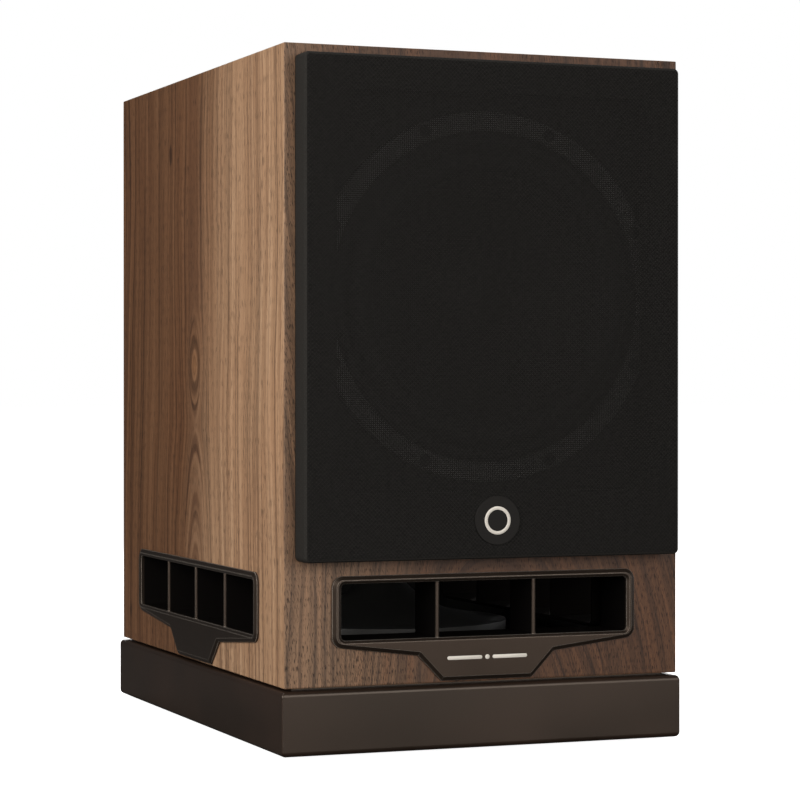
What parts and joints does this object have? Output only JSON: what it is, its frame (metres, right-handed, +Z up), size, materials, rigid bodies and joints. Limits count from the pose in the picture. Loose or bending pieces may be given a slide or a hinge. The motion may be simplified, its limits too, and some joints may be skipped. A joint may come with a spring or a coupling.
{
  "type": "powered subwoofer",
  "caption": "Powered subwoofer: veneered cabinet with cloth grille, finned vents near the foot, dark plinth and rear amplifier plate.",
  "frame": {"origin": "centre of the footprint, on the floor", "axes": "+Z up; the driver and grille face -Y; +X is to the right seen from the front"},
  "size_m": [0.3112, 0.459, 0.5],
  "materials": {
    "walnut": "satin walnut veneer",
    "fibreboard": "raw fibreboard",
    "wadding": "matt polyester fibre",
    "bezel_plastic": "satin gunmetal bronze",
    "black_plastic": "matt",
    "plinth_lacquer": "satin bronze-grey lacquer on board",
    "steel": "plain",
    "foot_rubber": "matt",
    "foam_gasket": "closed-cell foam",
    "cast_alloy": "black powder coat",
    "satin_black": "satin",
    "black_steel": "black oxide",
    "surround_rubber": "satin butyl",
    "cone_paper": "matt fibre pulp",
    "former_alloy": "bright",
    "copper_wire": "enamelled copper",
    "spider_cloth": "resin-treated cloth",
    "ferrite": "sintered ferrite",
    "cable_sheath": "matt",
    "grille_board": "black lacquered board",
    "grille_cloth": "black knitted cloth",
    "magnet_nickel": "nickel plate",
    "badge_metal": "satin dark bronze",
    "amp_black": "fine black texture",
    "sink_alloy": "black anodised",
    "circuit_board": "solder mask",
    "component_sleeve": "sleeve",
    "knob_plastic": "satin",
    "lever_chrome": "polished",
    "lamp_lens": "tinted diffuser lens",
    "socket_gold": "gold plate",
    "pin_brass": "nickel-plated brass",
    "rocker_gloss": "gloss"
  },
  "bodies": {
    "cabinet": {"top_panel": "walnut", "base_panel": "walnut", "side_panel_left": "walnut", "side_panel_right": "walnut", "front_baffle": "walnut", "rear_panel": "walnut", "chamber_shelf": "fibreboard", "window_brace": "fibreboard", "damping_pads": "wadding", "front_vent_bezel": "bezel_plastic", "left_vent_bezel": "bezel_plastic", "right_vent_bezel": "bezel_plastic", "port_tube": "black_plastic", "port_diffuser": "black_plastic", "plinth": "plinth_lacquer", "plinth_screws": "steel", "feet": "foot_rubber", "driver_gasket": "foam_gasket", "driver_basket": "cast_alloy", "driver_trim_ring": "satin_black", "driver_screws": "black_steel", "driver_surround": "surround_rubber", "driver_spider": "spider_cloth", "driver_front_plate": "black_steel", "driver_magnets": "ferrite", "driver_yoke": "black_steel", "driver_terminals": "black_plastic", "driver_cable": "cable_sheath", "baffle_magnets": "magnet_nickel", "amp_plate": "amp_black", "amp_gasket": "foam_gasket", "amp_heatsink": "sink_alloy", "amp_screws": "black_steel", "amp_board": "circuit_board", "board_parts": "component_sleeve", "control_pots": "steel", "toggle_bodies": "steel", "status_lamp": "lamp_lens", "line_sockets": "socket_gold", "mains_inlet": "black_plastic", "inlet_pins": "pin_brass", "rocker_housing": "black_plastic"},
    "grille": {"grille_frame": "grille_board", "grille_cloth": "grille_cloth", "grille_magnets": "magnet_nickel", "badge": "badge_metal"},
    "cone_assembly": {"driver_cone": "cone_paper", "dust_cap": "cone_paper", "coil_former": "former_alloy", "voice_coil": "copper_wire"},
    "level_control": {"level_shaft": "steel", "level_knob": "knob_plastic"},
    "crossover_control": {"crossover_shaft": "steel", "crossover_knob": "knob_plastic"},
    "phase_switch": {"phase_lever": "lever_chrome"},
    "mode_switch": {"mode_lever": "lever_chrome"},
    "power_switch": {"power_rocker": "rocker_gloss"},
    "fuse_holder": {"fuse_drawer": "black_plastic"}
  },
  "joints": [
    {"name": "grille_pull", "type": "slide", "parent": "cabinet", "child": "grille", "axis": [0, -1, 0], "range_m": [0, 0.08]},
    {"name": "cone_travel", "type": "slide", "parent": "cabinet", "child": "cone_assembly", "axis": [0, -1, 0], "range_m": [-0.012, 0.012], "deforming": ["driver_surround", "driver_spider"]},
    {"name": "level_turn", "type": "hinge", "parent": "cabinet", "child": "level_control", "pos_m": [0.078, 0.212, 0.29], "axis": [0, 1, 0], "range_deg": [-150, 150]},
    {"name": "crossover_turn", "type": "hinge", "parent": "cabinet", "child": "crossover_control", "pos_m": [0.028, 0.212, 0.29], "axis": [0, 1, 0], "range_deg": [-150, 150]},
    {"name": "phase_flip", "type": "hinge", "parent": "cabinet", "child": "phase_switch", "pos_m": [-0.02, 0.213, 0.29], "axis": [1, 0, 0], "range_deg": [-24, 0]},
    {"name": "mode_flip", "type": "hinge", "parent": "cabinet", "child": "mode_switch", "pos_m": [-0.058, 0.213, 0.29], "axis": [1, 0, 0], "range_deg": [-12, 12]},
    {"name": "power_rock", "type": "hinge", "parent": "cabinet", "child": "power_switch", "pos_m": [-0.06, 0.212, 0.24], "axis": [1, 0, 0], "range_deg": [0, 18]},
    {"name": "fuse_pull", "type": "slide", "parent": "cabinet", "child": "fuse_holder", "axis": [0, 1, 0], "range_m": [0, 0.022]}
  ]
}
